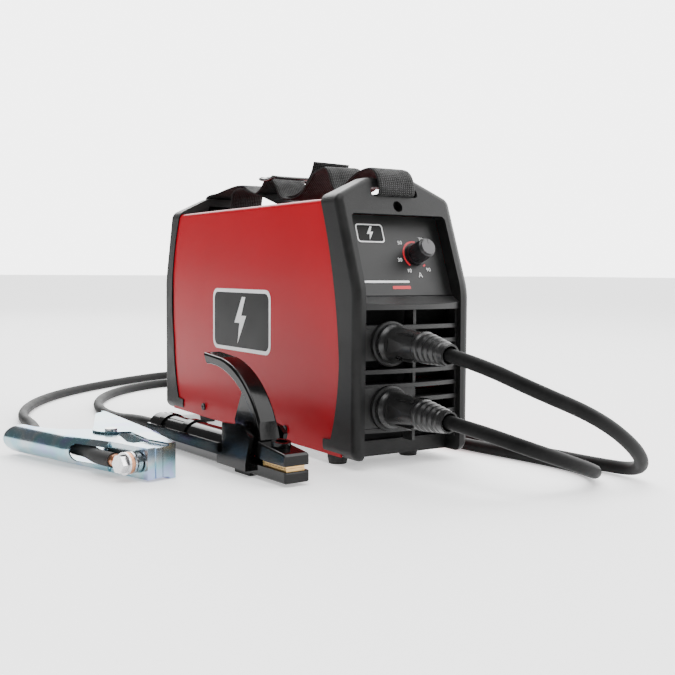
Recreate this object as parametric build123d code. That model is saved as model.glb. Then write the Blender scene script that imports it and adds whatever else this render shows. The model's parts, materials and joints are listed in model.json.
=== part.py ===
from build123d import *
import math
import os

# Stick welding inverter with its shoulder strap, two welding leads, an electrode holder and a ground clamp.
# Millimetres. X is the machine's width, Y its depth with the front at -Y, Z is up and the floor is z = 0.
# The origin is on the floor under the middle of the machine.

os.makedirs("parts", exist_ok=True)

# Case
FRONT_Y = -190.0            # front faces of the front bezel's side bars
REAR_Y = 190.0              # rear face of the rear bezel
CASE_HALF = 57.3            # half width over the bezels
CREST_HALF = 23.0           # half width of the bezel's flat crest
CASE_BOTTOM = 7.3           # underside of the bezels
SHOULDER_Z = 217.5
CREST_Z = 234.0
FRONT_KINK_Z = 142.5        # above this the front face leans back
FRONT_LEAN = 0.38           # depth per unit of height
REAR_KINK_Z = 147.0
REAR_LEAN = 0.26
CREST_DEPTH = 16.0          # flat top of the crest, front to back
RIM_R = 6.0                 # rounding of the bezel's face edges
COVER_HALF = 56.0           # half width over the red cover
COVER_TOP = 216.4
COVER_BOTTOM = 8.2
SHEET = 1.2                 # steel sheet of the cover and the pan
SKIRT_DEPTH = 21.35         # solid depth of the bezel's side bars
PANEL_SETBACK = 12.8        # control panel behind the leaning face

REAR_PANEL_HALF = 52.0       # steel plate inside the rear bezel
FOOT_R = 8.6

# Window in the front bezel and what it frames
WINDOW_HALF = 48.0
WINDOW_TOP = 203.8
WINDOW_BOTTOM = 20.0
INSERT_HALF = 47.2          # shelf and grille inside the window
SLAT_PITCH = 11.75
SLAT_TOP_Z = 113.0
SLAT_THICK = 3.4
SLAT_BACK = 16.0            # rear edge of the slats, behind the front face

# Output sockets and plugs
SOCKET_X = -23.5
UPPER_SOCKET_Z = 100.0
LOWER_SOCKET_Z = 48.5
FLANGE_R = 18.0
LEAD_R = 5.25
PIN_R = 4.5
BOOT_BEND = -45.0            # where the boots start to droop, in front of the case
BOOT_END = -74.5
BOOT_FLOOR = -64.0           # bottom of the boot's open mouth, where the lead starts
MOUTH_R = 6.9
UPPER_DROOP = 7.0            # degrees
LOWER_DROOP = 3.0

# Control knob, on an axis square to the leaning panel
KNOB_X = 17.0
KNOB_Z = 171.0
KNOB_R = 8.6
KNOB_LENGTH = 17.5
KNOB_CAP_R = 6.6
KNOB_GAP = 1.0

# Fan
FAN_SIZE = 92.0
FAN_Z = 76.0
FAN_DEPTH = 25.0

# Electrode holder: nose position and heading on the floor
HOLDER_AT = Location((-120.4, -209.1, 0), (0, 0, 3.74))
HOLDER_LENGTH = 216.0
HOLDER_GRIP_Z = 15.5
HOLDER_PIVOT = (56.0, 20.0)  # distance behind the nose, height
PIN_HALF = 15.8              # the pin ends inside the guard plates

# Ground clamp: nose position and heading; it lies on its side, pivot upright
CLAMP_AT = Location((-193.0, -137.0, 0), (0, 0, 16.44))
CLAMP_MID_Z = 13.7
CLAMP_PIVOT = (9.0, 80.0)    # sideways, distance behind the nose
CLAMP_ARM_R = 12.0
CLAMP_OPEN_R = 13.7
CLAMP_SHEET = 1.4

FRAME_MM = 0.3               # gap between curved faces of neighbouring pieces


def block(x0, x1, y0, y1, z0, z1):
    centre = ((x0 + x1) / 2, (y0 + y1) / 2, (z0 + z1) / 2)
    return Pos(*centre) * Box(x1 - x0, y1 - y0, z1 - z0)


def prism_x(face, x0, x1):
    """Extrude a face drawn in (Y, Z) from x0 to x1."""
    return extrude(Plane.YZ.offset(x0) * face, amount=x1 - x0)


def prism_y(face, y0, y1):
    """Extrude a face drawn in (X, Z) from y0 to y1."""
    plane = Plane(origin=(0, y1, 0), x_dir=(1, 0, 0), z_dir=(0, -1, 0))
    return extrude(plane * face, amount=y1 - y0)


def prism_z(face, z0, z1):
    return extrude(Plane.XY.offset(z0) * face, amount=z1 - z0)


def rod(start, end, radius):
    axis = Vector(*end) - Vector(*start)
    return Solid.make_cylinder(radius, axis.length, Plane(origin=start, z_dir=axis))


def outline(*points):
    return make_face(Polyline(*points, close=True))


def rounded(points, radius):
    face = outline(*points)
    return fillet(face.vertices(), radius)


def turned(points, location):
    """A solid turned from a closed outline of (radius, height) points about the location's Z axis."""
    face = make_face(Polyline(*[(r, 0, h) for r, h in points], close=True))
    return location * revolve(face, Axis.Z)


def pieces(shapes):
    """Separate solids that share one node."""
    return Compound(children=list(shapes))


def save(shape, node):
    export_step(shape, "parts/" + node + ".step")


# ---------------------------------------------------------------- case

def bezel_side(kink_z, lean):
    """Side profile of a bezel in (depth behind its face, Z), with the arc that borders the cover."""
    crest_depth = (CREST_Z - kink_z) * lean
    back = crest_depth + CREST_DEPTH
    bend = 9.0
    slant = math.hypot(1, lean)
    bend_end = (bend * lean / slant, kink_z + bend / slant)
    edges = [
        Line((0, CASE_BOTTOM), (0, kink_z - bend)),
        TangentArc((0, kink_z - bend), bend_end, tangent=(0, 1)),
        Line(bend_end, (crest_depth, CREST_Z)),
        Line((crest_depth, CREST_Z), (back, CREST_Z)),
        Line((back, CREST_Z), (back + 3, COVER_TOP)),
        ThreePointArc((back + 3, COVER_TOP), (back - 16, 157), (24, 84)),
        ThreePointArc((24, 84), (26.5, 57), (36, 21)),
        Line((36, 21), (48, 20)),
        Line((48, 20), (48, CASE_BOTTOM)),
        Line((48, CASE_BOTTOM), (0, CASE_BOTTOM)),
    ]
    return make_face(edges)


def bezel_outline():
    """Front outline of a bezel in (X, Z): upright sides, sloped shoulders and a flat crest."""
    half = [(CASE_HALF, CASE_BOTTOM), (CASE_HALF, SHOULDER_Z), (CREST_HALF, CREST_Z)]
    other = [(-x, z) for x, z in reversed(half)]
    face = outline(*half, *other)
    face = fillet([v for v in face.vertices() if v.Y < CASE_BOTTOM + 1], 8)
    return fillet([v for v in face.vertices() if v.Y > SHOULDER_Z - 1], 9)


def bezel(kink_z, lean, window_top, bar_bottom, slot_half):
    """A bezel whose face is at depth 0 and whose skirt runs back over the cover."""
    body = prism_x(bezel_side(kink_z, lean), -60, 60) & prism_y(bezel_outline(), -1, 80)
    face_edges = [e for e in body.edges() if on_face_rim(e, kink_z, lean)]
    body = fillet(face_edges, RIM_R)
    top_depth = (COVER_TOP - kink_z) * lean + PANEL_SETBACK
    turn_z = kink_z + (SKIRT_DEPTH - PANEL_SETBACK) / lean
    cavity = outline(
        (SKIRT_DEPTH, COVER_BOTTOM - 0.1), (SKIRT_DEPTH, turn_z), (top_depth, COVER_TOP + 0.1),
        (90, COVER_TOP + 0.1), (90, COVER_BOTTOM - 0.1),
    )
    body -= prism_x(cavity, -COVER_HALF - 0.1, COVER_HALF + 0.1)
    window = rounded([
        (-WINDOW_HALF, bar_bottom), (WINDOW_HALF, bar_bottom),
        (WINDOW_HALF - 1, window_top), (-WINDOW_HALF + 1, window_top),
    ], 4)
    body -= prism_y(window, -5, 60)
    body -= block(-WINDOW_HALF, WINDOW_HALF, -5, SKIRT_DEPTH - 2, 0, bar_bottom + 6)
    slot = rounded([(-slot_half, 218.5), (slot_half, 218.5), (slot_half, 226), (-slot_half, 226)], 3)
    return body - prism_y(slot, 5, 80)


def on_face_rim(edge, kink_z, lean):
    """True for the edges where the front face meets the outline's sides, shoulders and crest."""
    middle = edge.position_at(0.5)
    face_depth = max(0.0, (middle.Z - kink_z) * lean)
    on_face = abs(middle.Y - face_depth) < 1.0 and middle.Z > CASE_BOTTOM + 1
    across = abs(middle.X) < 1 and middle.Z < CREST_Z - 1
    return on_face and not across


def front_bezel():
    body = bezel(FRONT_KINK_Z, FRONT_LEAN, WINDOW_TOP, WINDOW_BOTTOM, 23.2)
    body -= rod((0.5, 0, 210.5), (0.5, 34, 210.5), 4.5)
    body = Pos(0, FRONT_Y, 0) * body
    for x, y in foot_places():
        body -= rod((x, y, 0), (x, y, COVER_BOTTOM), FOOT_R + FRAME_MM)
    return body


def rear_bezel():
    body = bezel(REAR_KINK_Z, REAR_LEAN, WINDOW_TOP, WINDOW_BOTTOM, 23.2)
    body -= block(-REAR_PANEL_HALF - 0.2, REAR_PANEL_HALF + 0.2, SKIRT_DEPTH, SKIRT_DEPTH + SHEET + 0.2, 11, 201)
    return Pos(0, REAR_Y, 0) * Rot(0, 0, 180) * body


def wrap_cover():
    outer = [(-COVER_HALF, COVER_BOTTOM), (-COVER_HALF, COVER_TOP), (COVER_HALF, COVER_TOP), (COVER_HALF, COVER_BOTTOM)]
    section = outline(*outer)
    section = fillet([v for v in section.vertices() if v.Y > 100], 4)
    inner = outline(
        (-COVER_HALF + SHEET, COVER_BOTTOM - 1), (-COVER_HALF + SHEET, COVER_TOP - SHEET),
        (COVER_HALF - SHEET, COVER_TOP - SHEET), (COVER_HALF - SHEET, COVER_BOTTOM - 1),
    )
    inner = fillet([v for v in inner.vertices() if v.Y > 100], 4 - SHEET)
    ends = outline(
        (FRONT_Y + 22, COVER_BOTTOM - 1), (FRONT_Y + 22, 165), (FRONT_Y + 43, COVER_TOP + 1),
        (REAR_Y - 36, COVER_TOP + 1), (REAR_Y - 22, 165), (REAR_Y - 22, COVER_BOTTOM - 1),
    )
    cover = prism_y(section - inner, FRONT_Y, REAR_Y) & prism_x(ends, -60, 60)
    for x, y, z in cover_screw_places():
        side = math.copysign(1, x)
        cover -= rod((x - 4 * side, y, z), (x + 4 * side, y, z), 2.1)
    return cover


def cover_screw_places():
    return [(side * COVER_HALF, y, 18.5) for side in (-1, 1) for y in (-78.0, 90.6)]


def base_pan():
    half = COVER_HALF - SHEET - 0.2
    pan = block(-half, half, FRONT_Y + 24, REAR_Y - 24, COVER_BOTTOM, COVER_BOTTOM + SHEET)
    for side in (-1, 1):
        flange = block(half - SHEET, half, FRONT_Y + 24, REAR_Y - 24, COVER_BOTTOM, 30)
        pan += flange if side > 0 else flange.mirror(Plane.YZ)
    for x, y, z in cover_screw_places():
        side = math.copysign(1, x)
        pan -= rod((x - 4 * side, y, z), (x + 4 * side, y, z), 1.7)
    for x, y in foot_places():
        pan -= rod((x, y, 0), (x, y, 20), 2.1)
    return pan


def foot_places():
    """The front feet are set unevenly, the rear ones evenly."""
    return [(-46.5, -148.5), (26.0, -147.5), (-42.0, 112.0), (42.0, 112.0)]


def foot(x, y):
    profile = [(0, 0), (7.4, 0), (FOOT_R, 5.5), (FOOT_R, COVER_BOTTOM), (0, COVER_BOTTOM)]
    body = turned(profile, Pos(x, y, 0))
    return body - rod((x, y, 2), (x, y, 20), 1.9)


def foot_screw(x, y):
    """A screw down through the pan into the foot."""
    top = COVER_BOTTOM + SHEET
    return rod((x, y, 3), (x, y, top), 1.8) + rod((x, y, top), (x, y, top + 2), 3.6)


def pan_head(radius, shank_r, length):
    """A cross-recessed screw along +Z with the underside of its head at 0 and the shank below."""
    head = Solid.make_cylinder(radius, 1.8)
    shank = Pos(0, 0, -length) * Solid.make_cylinder(shank_r, length)
    cross = Box(radius * 1.1, 0.9, 2.4) + Box(0.9, radius * 1.1, 2.4)
    return head + shank - Pos(0, 0, 1.8) * cross


def case_screws():
    """Four screws through the cover's sides and four down through the feet."""
    screws = [foot_screw(x, y) for x, y in foot_places()]
    for x, y, z in cover_screw_places():
        turn = 90 if x > 0 else -90
        screws.append(Pos(x, y, z) * Rot(0, turn, 0) * pan_head(3.6, 1.65, 6))
    return pieces(screws)


# ---------------------------------------------------------------- front

def leaning_plane(x, z, setback):
    """A plane parallel to the leaning face, its Z axis pointing out of the front."""
    y = FRONT_Y + (z - FRONT_KINK_Z) * FRONT_LEAN + setback
    length = math.hypot(1, FRONT_LEAN)
    return Plane(origin=(x, y, z), x_dir=(1, 0, 0), z_dir=(0, -1 / length, FRONT_LEAN / length))


PANEL_PLANE = leaning_plane(KNOB_X, KNOB_Z, PANEL_SETBACK)


def on_panel(height):
    """The knob axis as a location, that far in front of the panel's face."""
    return PANEL_PLANE.location * Pos(0, 0, height)


def control_panel():
    bottom, top, thick = 138.0, WINDOW_TOP - 0.4, 2.5
    low = (bottom - FRONT_KINK_Z) * FRONT_LEAN + PANEL_SETBACK
    high = (top - FRONT_KINK_Z) * FRONT_LEAN + PANEL_SETBACK
    side = outline((low, bottom), (high, top), (high + thick, top), (low + thick, bottom))
    plate = prism_x(side, -INSERT_HALF + 0.4, INSERT_HALF - 0.4)
    return Pos(0, FRONT_Y, 0) * plate - on_panel(-10) * Solid.make_cylinder(3.7, 20)


def bowed_plan(front_end, front_middle, back):
    """Plan outline across the window, its front edge bowed forward."""
    return make_face([
        ThreePointArc((-INSERT_HALF, front_end), (0, front_middle), (INSERT_HALF, front_end)),
        Line((INSERT_HALF, front_end), (INSERT_HALF, back)),
        Line((INSERT_HALF, back), (-INSERT_HALF, back)),
        Line((-INSERT_HALF, back), (-INSERT_HALF, front_end)),
    ])


def panel_shelf():
    side = outline((-3, 127), (-3, 130.6), (0.6, 131.6), (10.6, 137.4), (14, 137.4), (14, 132), (6, 129), (3, 127))
    shelf = prism_x(side, -INSERT_HALF, INSERT_HALF)
    shelf &= prism_z(bowed_plan(2.5, -1.8, 20), 120, 145)
    return Pos(0, FRONT_Y, 0) * shelf


def front_grille():
    """Louvres, a centre rib, end walls and the two flat plates that carry the sockets, in one moulding."""
    slats = []
    for index in range(8):
        z = SLAT_TOP_Z - index * SLAT_PITCH
        slats.append(prism_z(bowed_plan(4.5, -0.5, SLAT_BACK), z - SLAT_THICK / 2, z + SLAT_THICK / 2))
    body = slats[0]
    for slat in slats[1:]:
        body += slat
    for low, high in ((87.4, 111.0), (33.6, 64.8)):
        body -= block(-INSERT_HALF, 0.9, -4, 20, low, high)
        body += block(-INSERT_HALF, 1.2, 2.6, 6, low - 0.6, high + 0.6)
    body += block(0.9, 3.7, 3.5, SLAT_BACK, WINDOW_BOTTOM, 126.5)
    for x in (-INSERT_HALF, INSERT_HALF - 1.6):
        body += block(x, x + 1.6, 5.0, SLAT_BACK, WINDOW_BOTTOM, 126.5)
    for z in (UPPER_SOCKET_Z, LOWER_SOCKET_Z):
        body -= rod((SOCKET_X, -5, z), (SOCKET_X, 2.6, z), FLANGE_R + FRAME_MM)
        body -= rod((SOCKET_X, -5, z), (SOCKET_X, 20, z), 12.8)
    return Pos(0, FRONT_Y, 0) * body


def inner_plate():
    """Black plate behind the louvres that the sockets pass through, with cooling slots beside them."""
    front = FRONT_Y + SKIRT_DEPTH + 0.65
    plate = block(-54, 54, front, front + SHEET, 12, 155)
    for z in (UPPER_SOCKET_Z, LOWER_SOCKET_Z):
        plate -= rod((SOCKET_X, front - 5, z), (SOCKET_X, front + 5, z), 12.8)
    for index in range(11):
        z = 24 + index * 8.8
        plate -= block(10, 44, front - 5, front + 5, z, z + 2.4)
    return plate


def socket_insulator(z):
    """Flange and barrel of an output socket, turned about its axis from the front backwards."""
    profile = [
        (7.6, -2.0), (16.6, -2.0), (FLANGE_R, -0.8), (FLANGE_R, 2.5), (12.5, 2.5), (12.5, 30), (7.6, 30),
    ]
    return turned(profile, socket_location(z))


def socket_location(z):
    return Location(Plane(origin=(SOCKET_X, FRONT_Y, z), x_dir=(1, 0, 0), z_dir=(0, 1, 0)))


def socket_contact(z):
    """Brass sleeve that takes the plug's pin, with a threaded stud at its back."""
    profile = [(4.6, 4), (7.5, 4), (7.5, 32), (9.5, 32), (9.5, 36), (4, 36), (4, 54), (0, 54), (0, 34), (4.6, 34)]
    return turned(profile, socket_location(z))


def plug_pin(z):
    profile = [(0, -20), (3.4, -20), (3.4, -4), (PIN_R, -4), (PIN_R, 26), (3.5, 29), (0, 29)]
    pin = turned(profile, socket_location(z))
    key = Pos(SOCKET_X, FRONT_Y, z) * block(-1.2, 1.2, -2.0, 2.5, 0, 6.2)
    return pin + key


def plug_handle(z, droop):
    """Moulded handle of a lead plug: collar, tapered barrel, and a ribbed boot bent down by the lead's weight."""
    barrel = [
        (PIN_R + 0.2, -2.2), (15.2, -2.2), (15.6, -5), (14.2, -7.5), (13.6, -9), (11.4, -41),
        (12.2, -43), (12.2, -45.5), (10.8, -47), (0, -47), (0, -22), (PIN_R + 0.2, -22),
    ]
    boot = [
        (0, BOOT_BEND), (10.8, BOOT_BEND), (11.6, -49), (11.6, -51), (10.1, -52.6), (10.9, -54.6),
        (10.9, -56.6), (9.4, -58.2), (10.2, -60.2), (10.2, -62.2), (8.7, -63.8), (9.3, -65.8),
        (9.3, -67.8), (8.7, -69), (8.3, BOOT_END), (MOUTH_R, BOOT_END), (MOUTH_R, BOOT_FLOOR), (0, BOOT_FLOOR),
    ]
    bend = Pos(0, 0, BOOT_BEND) * Rot(droop, 0, 0) * Pos(0, 0, -BOOT_BEND)
    handle = turned(barrel, socket_location(z)) + turned(boot, socket_location(z) * bend)
    for side in (-1, 1):
        flat = Pos(SOCKET_X, FRONT_Y, z) * block(side * 13.2 - 1.2, side * 13.2 + 1.2, -39, -12, -6, 6)
        handle -= flat
    ridge = block(-0.8, 0.8, -40, -9, 11.4, 14.2) - Pos(0, -25, 13.6) * Rot(-3.9, 0, 0) * block(-2, 2, -20, 20, 0, 4)
    for turn in (38, 142, 218, 322):
        handle += Pos(SOCKET_X, FRONT_Y, z) * Rot(0, turn, 0) * ridge
    return handle


# ---------------------------------------------------------------- knob and dial

def knob():
    """Fluted collet knob, turned about the knob axis, with a bore for the shaft."""
    base = Solid.make_cylinder(KNOB_R + 0.6, 3)
    barrel = Solid.make_cone(KNOB_R, KNOB_R - 0.6, KNOB_LENGTH)
    barrel = chamfer([e for e in barrel.edges() if e.center().Z > KNOB_LENGTH - 1], 1.1)
    body = base + barrel
    for index in range(18):
        flute = Rot(0, 0, index * 20) * Pos(KNOB_R + 0.05, 0, 3) * Solid.make_cylinder(0.55, KNOB_LENGTH)
        body -= flute
    body -= Pos(0, 0, -1) * Solid.make_cylinder(3.1, KNOB_LENGTH - 2)
    return on_panel(KNOB_GAP) * body


def knob_cap():
    cap = Solid.make_cylinder(KNOB_CAP_R, 1.2)
    cap = cap.chamfer(0.3, None, [e for e in cap.edges() if e.center().Z > 1 and e.length > 10])
    cap -= Pos(0, 4.2, 1.3) * Box(0.9, 4.0, 0.7)
    return on_panel(KNOB_GAP + KNOB_LENGTH) * cap


def potentiometer():
    can = Pos(0, 0, -12) * Solid.make_cylinder(12, 9.4)
    bush = Pos(0, 0, -2.6) * Solid.make_cylinder(3.6, 3.1)
    return on_panel(0) * (can + bush - Pos(0, 0, -10) * Solid.make_cylinder(3.05, 20))


def pot_shaft():
    return on_panel(0) * Pos(0, 0, -9.5) * Solid.make_cylinder(3.0, 9.5 + KNOB_GAP + KNOB_LENGTH - 4)


# ---------------------------------------------------------------- rear

def rear_panel():
    """Steel plate inside the rear bezel with openings for the fan, the switch and the cable gland."""
    y = REAR_Y - SKIRT_DEPTH - SHEET
    plate = block(-REAR_PANEL_HALF, REAR_PANEL_HALF, y, y + SHEET, 12, 200)
    plate -= rod((0, y - 5, FAN_Z), (0, y + 5, FAN_Z), 41)
    for x, z in fan_screw_places():
        plate -= rod((x, y - 5, z), (x, y + 5, z), 2.2)
    plate -= block(14.2, 35.8, y - 5, y + 5, 158, 186)
    return plate - rod((-24, y - 5, 166), (-24, y + 5, 166), 9.2)


def fan_screw_places():
    spacing = FAN_SIZE / 2 - 4.75
    return [(x * spacing, FAN_Z + z * spacing) for x in (-1, 1) for z in (-1, 1)]


PANEL_BACK = REAR_Y - SKIRT_DEPTH   # outer face of the rear panel


def fan_frame():
    half = FAN_SIZE / 2
    y1 = PANEL_BACK - SHEET - 0.2
    y0 = y1 - FAN_DEPTH
    frame = block(-half, half, y0, y1, FAN_Z - half, FAN_Z + half)
    frame -= rod((0, y0 - 1, FAN_Z), (0, y1 + 1, FAN_Z), 43)
    frame += rod((0, y0, FAN_Z), (0, y0 + 3, FAN_Z), 17)
    for turn in (20, 110, 200, 290):
        arm = Pos(0, 0, FAN_Z) * Rot(0, turn, 0) * block(15, 44, y0, y0 + 3, -2.5, 2.5)
        frame += arm
    for x, z in fan_screw_places():
        frame -= rod((x, y0 - 1, z), (x, y1 + 1, z), 2.1)
    frame -= rod((0, y0 - 1, FAN_Z), (0, y0 + 4, FAN_Z), 2.06)
    return frame


def fan_rotor():
    """Hub, axle and seven pitched blades, spinning about Y."""
    y1 = PANEL_BACK - SHEET - 2.5
    y0 = y1 - FAN_DEPTH + 7
    rotor = rod((0, y0, FAN_Z), (0, y1, FAN_Z), 19)
    for index in range(7):
        blade = block(17, 41, -9, 9, -0.8, 0.8).rotate(Axis.X, 38)
        blade = blade.rotate(Axis.Y, index * 360 / 7)
        rotor += Pos(0, (y0 + y1) / 2, FAN_Z) * blade
    return rotor + rod((0, y0 - 5.5, FAN_Z), (0, y0 + 1, FAN_Z), 2.0)


def fan_guard():
    """Finger guard outside the rear panel: rings on four spokes."""
    y = PANEL_BACK + 0.2
    guard = rod((0, y, FAN_Z), (0, y + 3, FAN_Z), 9)
    for radius in (18, 27, 36, 45):
        ring = rod((0, y, FAN_Z), (0, y + 3, FAN_Z), radius + 1.1) - rod((0, y - 1, FAN_Z), (0, y + 4, FAN_Z), radius - 1.1)
        guard += ring
    spacing = FAN_SIZE / 2 - 4.75
    for turn in (45, 135):
        guard += Pos(0, 0, FAN_Z) * Rot(0, turn, 0) * block(-spacing * 1.414, spacing * 1.414, y, y + 3, -1.6, 1.6)
    for x, z in fan_screw_places():
        guard += rod((x, y, z), (x, y + 3, z), 5)
        guard -= rod((x, y - 1, z), (x, y + 4, z), 2.1)
    return guard


def fan_screws():
    screws = []
    for x, z in fan_screw_places():
        screws.append(Pos(x, PANEL_BACK + 3.4, z) * Rot(-90, 0, 0) * pan_head(4, 1.9, 16))
    return pieces(screws)


def switch_body():
    """Housing of the rocker power switch, clipped into the rear panel."""
    body = block(14.6, 35.4, PANEL_BACK - 22, PANEL_BACK + 0.2, 158.4, 185.6)
    body += block(13, 37, PANEL_BACK + 0.2, PANEL_BACK + 2.4, 157, 187)
    return body - block(17.4, 32.6, PANEL_BACK - 8, PANEL_BACK + 5, 161, 183)


def switch_rocker():
    """Rocker with two flat faces that meet at its pivot line, pressed in at the top."""
    y = PANEL_BACK
    side = outline((y - 5, 163.6), (y - 5, 180.4), (y + 1.6, 182.2), (y + 2.2, 172), (y + 5.4, 162.3), (y + 1.6, 161.8))
    return prism_x(side, 17.7, 32.3)


def cable_gland():
    """Compression gland for the mains lead: body through the panel, domed nut outside, lock nut inside."""
    y = PANEL_BACK
    spin = Location(Plane(origin=(-24, y, 166), x_dir=(1, 0, 0), z_dir=(0, 1, 0)))
    profile = [
        (4.2, -12), (9, -12), (9, 0.2), (12.5, 0.2), (12.5, 5), (11.5, 5), (11.5, 13), (9.5, 18), (6, 20), (4.2, 20),
    ]
    return turned(profile, spin)


def gland_nut():
    y = PANEL_BACK - SHEET
    hexagon = RegularPolygon(12.5, 6)
    nut = prism_y(Pos(-24, 166) * hexagon, y - 4.6, y - 0.2)
    return nut - rod((-24, y - 6, 166), (-24, y + 1, 166), 9.1)


# ---------------------------------------------------------------- power electronics

def power_board():
    board = block(-46, 46, -120, 108, 118, 119.6)
    for x, y in board_post_places():
        board -= rod((x, y, 110), (x, y, 130), 1.7)
    return board


def board_post_places():
    return [(x, y) for x in (-41.0, 41.0) for y in (-112.0, 102.0)]


def board_posts():
    posts = []
    for x, y in board_post_places():
        post = rod((x, y, COVER_BOTTOM + SHEET), (x, y, 118), 3.5)
        posts.append(post + rod((x, y, 118), (x, y, 120.5), 1.6))
    return pieces(posts)


def heatsink(x0):
    """Finned aluminium extrusion running front to back in the fan's air stream."""
    body = block(x0, x0 + 38, -30, 92, 96, 102)
    for index in range(8):
        x = x0 + 0.5 + index * 5
        body += block(x, x + 2, -30, 92, 48, 96)
    return body


def power_transistors():
    """Eight power packages lying on the heatsinks, under the board."""
    rows = []
    for x in (-34, -14, 20, 40):
        for y in (-12, 60):
            package = block(x - 8, x + 8, y - 10.5, y + 10.5, 102, 107)
            legs = block(x - 1, x + 1, y - 1, y + 1, 107, 118)
            rows.append(package + legs)
    return pieces(rows)


def capacitors():
    cans = []
    for index in range(3):
        x = -30 + index * 30
        cans.append(rod((x, 76, 119.6), (x, 76, 164), 13.5))
    return pieces(cans)


def rectifier():
    return block(-32, -4, 16, 44, 119.6, 128) - rod((-18, 30, 115), (-18, 30, 135), 2.2)


def transformer_core():
    """Ferrite E core pair around the winding's window."""
    core = block(-30, 30, -62, -26, 119.6, 170)
    core -= block(-22, -8, -63, -25, 128, 162)
    return core - block(8, 22, -63, -25, 128, 162)


def transformer_winding():
    winding = rounded([(-21, -75), (21, -75), (21, -13), (-21, -13)], 6)
    hollow = outline((-8.4, -62.6), (8.4, -62.6), (8.4, -25.4), (-8.4, -25.4))
    return prism_z(winding - hollow, 129, 161)


def output_inductor():
    ring = Solid.make_torus(22, 10, Plane(origin=(14, -78, 46), z_dir=(0, 1, 0)))
    return ring


def control_board():
    plane = leaning_plane(0, 176, PANEL_SETBACK + 20)
    return plane.location * Box(78, 44, 1.6)


def bus_bars():
    """Copper bars from the socket studs back to the board and the inductor."""
    studs = FRONT_Y + 38
    upper = block(SOCKET_X - 8, SOCKET_X + 8, studs, studs + 3, UPPER_SOCKET_Z - 9, 121.8)
    upper += block(SOCKET_X - 8, SOCKET_X + 8, studs, -112, 119.8, 121.8)
    upper -= rod((SOCKET_X, studs - 5, UPPER_SOCKET_Z), (SOCKET_X, studs + 5, UPPER_SOCKET_Z), 4.1)
    lower = block(SOCKET_X - 8, 20, studs, studs + 3, LOWER_SOCKET_Z - 9, LOWER_SOCKET_Z + 9)
    lower += block(10, 20, studs, -90, LOWER_SOCKET_Z - 9, LOWER_SOCKET_Z - 7)
    lower -= rod((SOCKET_X, studs - 5, LOWER_SOCKET_Z), (SOCKET_X, studs + 5, LOWER_SOCKET_Z), 4.1)
    return pieces([upper, lower])


def stud_nuts():
    nuts = []
    for z in (UPPER_SOCKET_Z, LOWER_SOCKET_Z):
        y = FRONT_Y + 41.2
        nut = prism_y(Pos(SOCKET_X, z) * RegularPolygon(7.5, 6), y, y + 6)
        nuts.append(nut - rod((SOCKET_X, y - 1, z), (SOCKET_X, y + 7, z), 4.05))
    return pieces(nuts)


# ---------------------------------------------------------------- strap

STRAP_HALF = 18.0
STRAP_THICK = 1.8
# Middle of the webbing in (Y, Z): through the front slot, over the crest, two loose humps, back to the rear crest.
STRAP_LINE = [
    (-136, 222), (-157, 222), (-162, 222.6), (-163.6, 225.5), (-163, 230), (-159, 237.5), (-153, 241.5),
    (-146, 242.6), (-135, 241.3), (-122, 237.5), (-108, 230), (-98, 227.5), (-90, 230), (-86, 236),
    (-82, 244.5), (-76, 249), (-68, 248.5), (-56, 245), (-48, 237), (-38, 228.5), (-24, 224.5), (-6, 224.5),
    (4, 230), (9, 237), (16, 240.6), (30, 241.4), (46, 238.6), (60, 238.6), (78, 243), (98, 243.5), (120, 241),
    (140, 238.5), (156, 238.2), (167, 236.5), (171, 231), (172.4, 226), (169, 222.6), (158, 222), (140, 222),
]


def ribbon(points, thick):
    """A band of even thickness about a line of points."""
    line = [Vector(*p) for p in points]
    sides = []
    for index, point in enumerate(line):
        before = line[max(index - 1, 0)]
        after = line[min(index + 1, len(line) - 1)]
        along = (after - before).normalized()
        sides.append(Vector(-along.Y, along.X) * (thick / 2))
    upper = [p + s for p, s in zip(line, sides)]
    lower = [p - s for p, s in zip(line, sides)]
    return outline(*[(v.X, v.Y) for v in upper + lower[::-1]])


def strap():
    return prism_x(ribbon(STRAP_LINE, STRAP_THICK), -STRAP_HALF, STRAP_HALF)


def strap_slider():
    """Three-bar slider round the webbing."""
    y, z = 22.0, 243.6
    bars = block(-24, 24, y - 12, y + 12, z - 1.2, z + 1.8)
    bars -= block(-19.5, 19.5, y - 8.5, y - 2, z - 3, z + 4)
    bars -= block(-19.5, 19.5, y + 2, y + 8.5, z - 3, z + 4)
    return bars


# ---------------------------------------------------------------- leads

# Routes of the two leads, from the plug to the tool, chosen by hand: run out, down to the floor, round behind.
CLAMP_LEAD = [
    (-23.5, -253.9, 97.7), (-23.5, -298, 92.3), (-5, -332, 77), (36, -356, 57), (84, -350, 28), (116, -324, 7),
    (114, -280, 5.3), (111, -228, 5.3), (103, -168, 5.3), (98, -108, 5.3), (108, -48, 5.3), (128, 12, 5.3),
    (144, 72, 5.3), (158, 132, 5.3), (166, 192, 5.3), (175, 252, 5.3), (178, 312, 5.3), (176, 372, 5.3),
    (166, 428, 5.3), (142, 478, 5.3), (104, 514, 5.3), (58, 504, 5.3), (10, 475, 5.3), (-36, 444, 5.3),
    (-84, 406, 5.3), (-130, 360, 5.3), (-168, 306, 5.3), (-195, 250, 5.3), (-212, 194, 5.3), (-216, 142, 5.3),
    (-226, 94, 7), (-243.4, 52, 12), (-245, 18, 13.7), (-238.8, -13, 13.7), (-232.8, -44.3, 13.7),
]
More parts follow.
